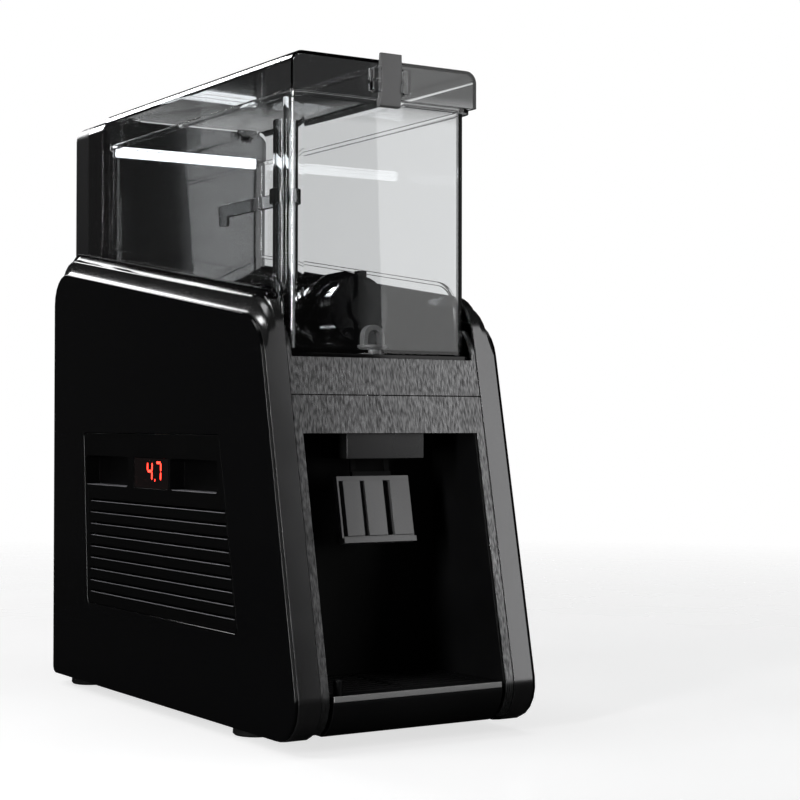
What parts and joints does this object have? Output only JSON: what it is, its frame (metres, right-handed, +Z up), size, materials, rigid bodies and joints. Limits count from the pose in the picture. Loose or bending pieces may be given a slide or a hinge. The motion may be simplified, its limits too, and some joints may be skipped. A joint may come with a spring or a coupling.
{
  "type": "slushie machine",
  "caption": "Counter-top slush dispenser: clear lidded bowl with cooling drum and auger on a dark slab body, lever tap over a drip tray, switches and vents at the back.",
  "frame": {"origin": "on the surface the feet stand on, under the middle of the overall box", "axes": "+Z up, -Y towards the dispensing front, +X to the right of someone facing the front"},
  "size_m": [0.23, 0.498, 0.5648],
  "materials": {
    "gloss_black": "gloss",
    "satin_grey": "satin",
    "brushed_dark": "brushed, vertical grain",
    "matte_dark": "matt powder coat",
    "matte_black": "matt",
    "compressor_black": "enamel",
    "clear": "clear polycarbonate",
    "mid_grey": "satin",
    "light_grey": "satin",
    "steel": "polished stainless",
    "zinc": "dull",
    "rubber": "matt",
    "glow": "frosted, lit from behind",
    "lens": "gloss, dark tint",
    "copper": "drawn copper"
  },
  "bodies": {
    "housing": {"side_panel_left": "gloss_black", "side_panel_right": "gloss_black", "bowl_cradle": "gloss_black", "column_front": "gloss_black", "side_shell_left": "satin_grey", "side_shell_right": "satin_grey", "spout_block": "satin_grey", "fascia_frame": "brushed_dark", "fascia_upper": "brushed_dark", "vent_insert": "matte_dark", "upper_back_cover": "matte_dark", "lower_back_panel": "matte_dark", "display_module": "matte_black", "alcove_liner": "matte_black", "main_switch_body": "matte_black", "mixer_switch_body": "matte_black", "cooling_switch_body": "matte_black", "column_fan_frame": "matte_black", "condenser_fan_motor": "matte_black", "compressor": "compressor_black", "bowl": "clear", "standpipe": "clear", "arm_clip": "clear", "tap_tube": "steel", "lever_pin": "steel", "freezing_drum": "steel", "lid_pin_left": "steel", "lid_pin_right": "steel", "gear_case": "zinc", "drive_motor": "zinc", "base_plate": "zinc", "condenser": "zinc", "drum_seal": "rubber", "cable_gland": "rubber", "foot_front_left": "rubber", "foot_front_right": "rubber", "foot_rear_left": "rubber", "foot_rear_right": "rubber", "light_lens": "glow", "display_lens": "lens", "discharge_pipe": "copper", "suction_pipe": "copper"},
    "lid": {"lid": "clear", "latch_block": "clear", "latch_pin": "steel"},
    "latch": {"latch_tab": "mid_grey"},
    "level_arm": {"level_arm": "clear"},
    "auger": {"auger": "gloss_black", "drive_shaft": "steel"},
    "column_fan": {"column_fan": "matte_black"},
    "condenser_fan": {"condenser_fan": "zinc"},
    "main_rocker": {"main_rocker": "matte_black"},
    "mixer_rocker": {"mixer_rocker": "matte_black"},
    "cooling_rocker": {"cooling_rocker": "matte_black"},
    "lever": {"dispense_lever": "mid_grey"},
    "piston": {"tap_piston": "light_grey", "tap_spring": "steel"},
    "tray": {"drip_tray": "matte_black"},
    "grille": {"drip_grille": "matte_black"},
    "float": {"level_float": "matte_black"}
  },
  "joints": [
    {"name": "lid_hinge", "type": "hinge", "parent": "housing", "child": "lid", "pos_m": [0, 0.1775, 0.556], "axis": [-1, 0, 0], "range_deg": [0, 85]},
    {"name": "latch_hinge", "type": "hinge", "parent": "lid", "child": "latch", "pos_m": [0, -0.2, 0.542], "axis": [-1, 0, 0], "range_deg": [0, 8], "stiffness_Nm_per_rad": 0.05, "springref_deg": -8.59},
    {"name": "level_arm_hinge", "type": "hinge", "parent": "housing", "child": "level_arm", "pos_m": [-0.0642, -0.133, 0.4465], "axis": [1, 0, 0], "range_deg": [-20, 30]},
    {"name": "auger_spin", "type": "hinge", "parent": "housing", "child": "auger", "pos_m": [0, 0, 0.356], "axis": [0, 1, 0], "continuous": true},
    {"name": "column_fan_spin", "type": "hinge", "parent": "housing", "child": "column_fan", "pos_m": [0, 0.2255, 0.344], "axis": [0, 1, 0], "continuous": true},
    {"name": "condenser_fan_spin", "type": "hinge", "parent": "housing", "child": "condenser_fan", "pos_m": [0, 0.195, 0.142], "axis": [0, 1, 0], "continuous": true},
    {"name": "main_rocker_hinge", "type": "hinge", "parent": "housing", "child": "main_rocker", "pos_m": [0.0075, 0.24, 0.51], "axis": [1, 0, 0], "range_deg": [0, 15.4]},
    {"name": "mixer_rocker_hinge", "type": "hinge", "parent": "housing", "child": "mixer_rocker", "pos_m": [-0.0194, 0.24, 0.51], "axis": [1, 0, 0], "range_deg": [0, 15.4]},
    {"name": "cooling_rocker_hinge", "type": "hinge", "parent": "housing", "child": "cooling_rocker", "pos_m": [-0.0426, 0.24, 0.51], "axis": [1, 0, 0], "range_deg": [0, 15.4]},
    {"name": "lever_hinge", "type": "hinge", "parent": "housing", "child": "lever", "pos_m": [0, -0.1876, 0.24], "axis": [1, 0, 0], "range_deg": [0, 18], "stiffness_Nm_per_rad": 0.3, "springref_deg": -11.46},
    {"name": "piston_slide", "type": "slide", "parent": "housing", "child": "piston", "axis": [0, 0, 1], "range_m": [0, 0.005], "deforming": ["tap_spring"]},
    {"name": "tray_slide", "type": "slide", "parent": "housing", "child": "tray", "axis": [0, -1, 0], "range_m": [0, 0.12]},
    {"name": "grille_lift", "type": "slide", "parent": "tray", "child": "grille", "axis": [0, 0, 1], "range_m": [0, 0.03]},
    {"name": "float_slide", "type": "slide", "parent": "tray", "child": "float", "axis": [0, 0, 1], "range_m": [0, 0.004]}
  ],
  "couplings": [
    {"joint": "piston_slide", "follows": "lever_hinge", "m_per_rad": 0.0156}
  ]
}
